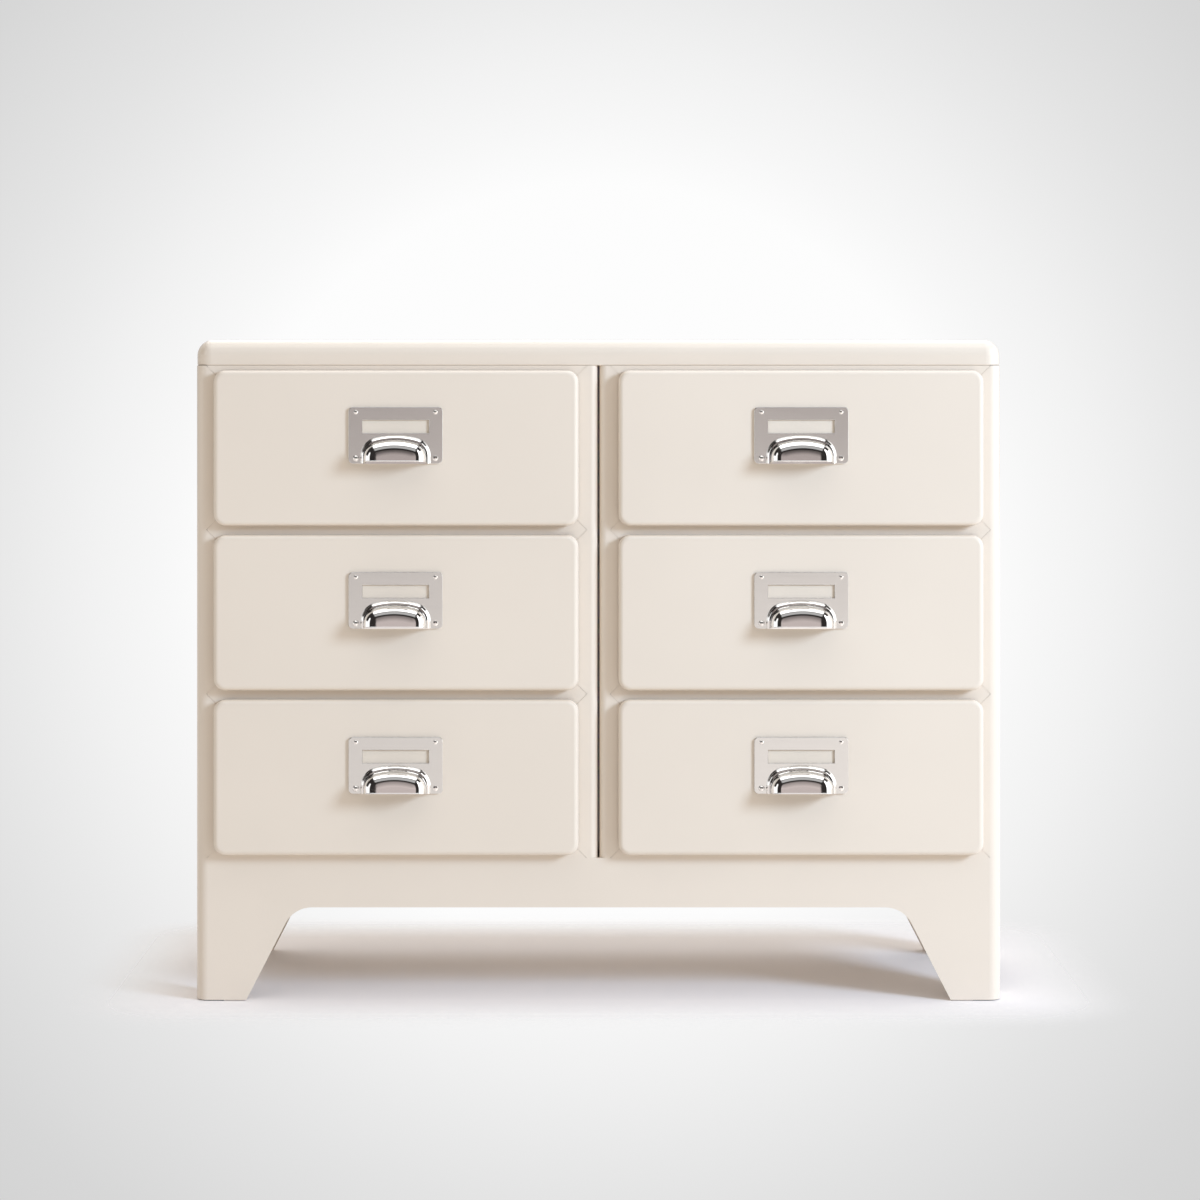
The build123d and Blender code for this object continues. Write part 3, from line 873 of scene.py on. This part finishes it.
# The soft light of the room: its ceiling, the part below the ceiling, the wall on the right, and the floor.
# SOFT_WHITE is its colour at level 2.
SOFT_WHITE = (1.98, 1.91, 1.86, 1)
SOFT_WHITE_LEVEL = 2
CEILING_RISE = (0.45, 0.85)
CEILING_LIGHT = 1.08
HIGH_RISE = (0.15, 0.3)
HIGH_LIGHT = 0.48
RIGHT_SIDE = (0.25, 0.55)
RIGHT_LIGHT = 1.02
HORIZON = (-0.12, -0.02)
FLOOR_LIGHT = 0.89


def turned(pair):
    """A change the other way round."""
    return pair[::-1]


def soft_light(recipe, x, z):
    """The light that falls on the chest from all round."""
    level = z.step(*CEILING_RISE) * CEILING_LIGHT
    level = level + z.step(*HIGH_RISE) * z.step(*turned(CEILING_RISE)) * HIGH_LIGHT
    level = level + z.step(*turned(HIGH_RISE)) * x.step(*RIGHT_SIDE) * RIGHT_LIGHT
    level = level * z.step(*HORIZON) + z.step(*turned(HORIZON)) * FLOOR_LIGHT
    return recipe.mix(level * (1 / SOFT_WHITE_LEVEL), BLACK, SOFT_WHITE)


def light_world():
    """Pale surroundings: what the camera sees, what metal mirrors, and the soft light of a white room."""
    world = bpy.data.worlds.new("studio")
    bpy.context.scene.world = world
    world.use_nodes = True
    recipe = Recipe(world.node_tree)
    x, y, z = recipe.split(recipe.node("ShaderNodeTexCoord", output="Generated"))

    def ray(kind):
        """Whether a ray is of this kind."""
        return recipe.node("ShaderNodeLightPath", output="Is " + kind + " Ray")

    glossy = ray("Glossy").most(ray("Transmission"))
    light = recipe.mix(glossy, soft_light(recipe, x, z), mirrored_room(recipe, x, y, z))
    light = recipe.mix(ray("Camera"), light, seen_backdrop(recipe, x, y, z))
    recipe.feed(world.node_tree.nodes["Background"].inputs["Color"], light)


# The key light, by the point that it aims at, its turn to the right of the camera and its rise from there
KEY_AIM = Vector((0, -0.15, 0.4))
KEY_TURN = math.radians(54)
KEY_RISE = math.radians(20)
KEY_DISTANCE = 3.5
KEY_SIZE = 1.0
KEY_POWER = 105
KEY_COLOUR = (0.6, 0.765, 1)


def add_key_light():
    """One soft lamp to the right of the camera and a little above the chest."""
    level = math.cos(KEY_RISE)
    way = Vector((math.sin(KEY_TURN) * level, -math.cos(KEY_TURN) * level, math.sin(KEY_RISE)))
    bpy.ops.object.light_add(type="AREA", location=KEY_AIM + way * KEY_DISTANCE)
    lamp = bpy.context.object
    lamp.name = "key_light"
    lamp.rotation_euler = way.to_track_quat("Z", "Y").to_euler()
    lamp.data.shape = "DISK"
    lamp.data.size = KEY_SIZE
    lamp.data.energy = KEY_POWER
    lamp.data.color = KEY_COLOUR
    lamp.visible_glossy = False


FLOOR_SIZE = 4
FLOOR_DARKER = (0.94, 0.892, 0.865, 1)
FLOOR_LIGHTER = (0.955, 0.907, 0.88, 1)
# The floor is strongest under the chest and for a little way behind it, in a patch of this half width,
# middle from front to back and half depth
PATCH_HALF_WIDTH = 0.4425
PATCH_MIDDLE = 0.06
PATCH_HALF_DEPTH = 0.19
# The distances from the patch at which the floor is nothing, and at which it would be whole
FLOOR_FADE = (0.16, -0.03)


def lay_floor():
    """A pale floor that holds the chest's shadow and fades into the surroundings."""
    bpy.ops.mesh.primitive_plane_add(size=FLOOR_SIZE, location=(0, 0, 0))
    floor = bpy.context.object
    floor.name = "floor"
    finish = Finish("pale floor", Roughness=0.9, Specular_IOR_Level=0.1)
    recipe = finish.recipe
    where = recipe.place()
    x, y = recipe.split(where)[:2]
    beside = (abs(x) - PATCH_HALF_WIDTH).most(0)
    before = (abs(y - PATCH_MIDDLE) - PATCH_HALF_DEPTH).most(0)
    reach = (beside * beside + before * before) ** 0.5
    clouds = recipe.noise(where, per_metre=14)
    finish.vary("Base Color", recipe.mix(clouds, FLOOR_DARKER, FLOOR_LIGHTER))
    finish.vary("Alpha", reach.step(*FLOOR_FADE))
    floor.data.materials.append(finish.material)


def set_scene():
    """Camera, light and floor."""
    bpy.context.scene.view_settings.view_transform = "Standard"
    set_camera()
    light_world()
    add_key_light()
    lay_floor()


dress_nodes()
fit_pulls()
set_scene()
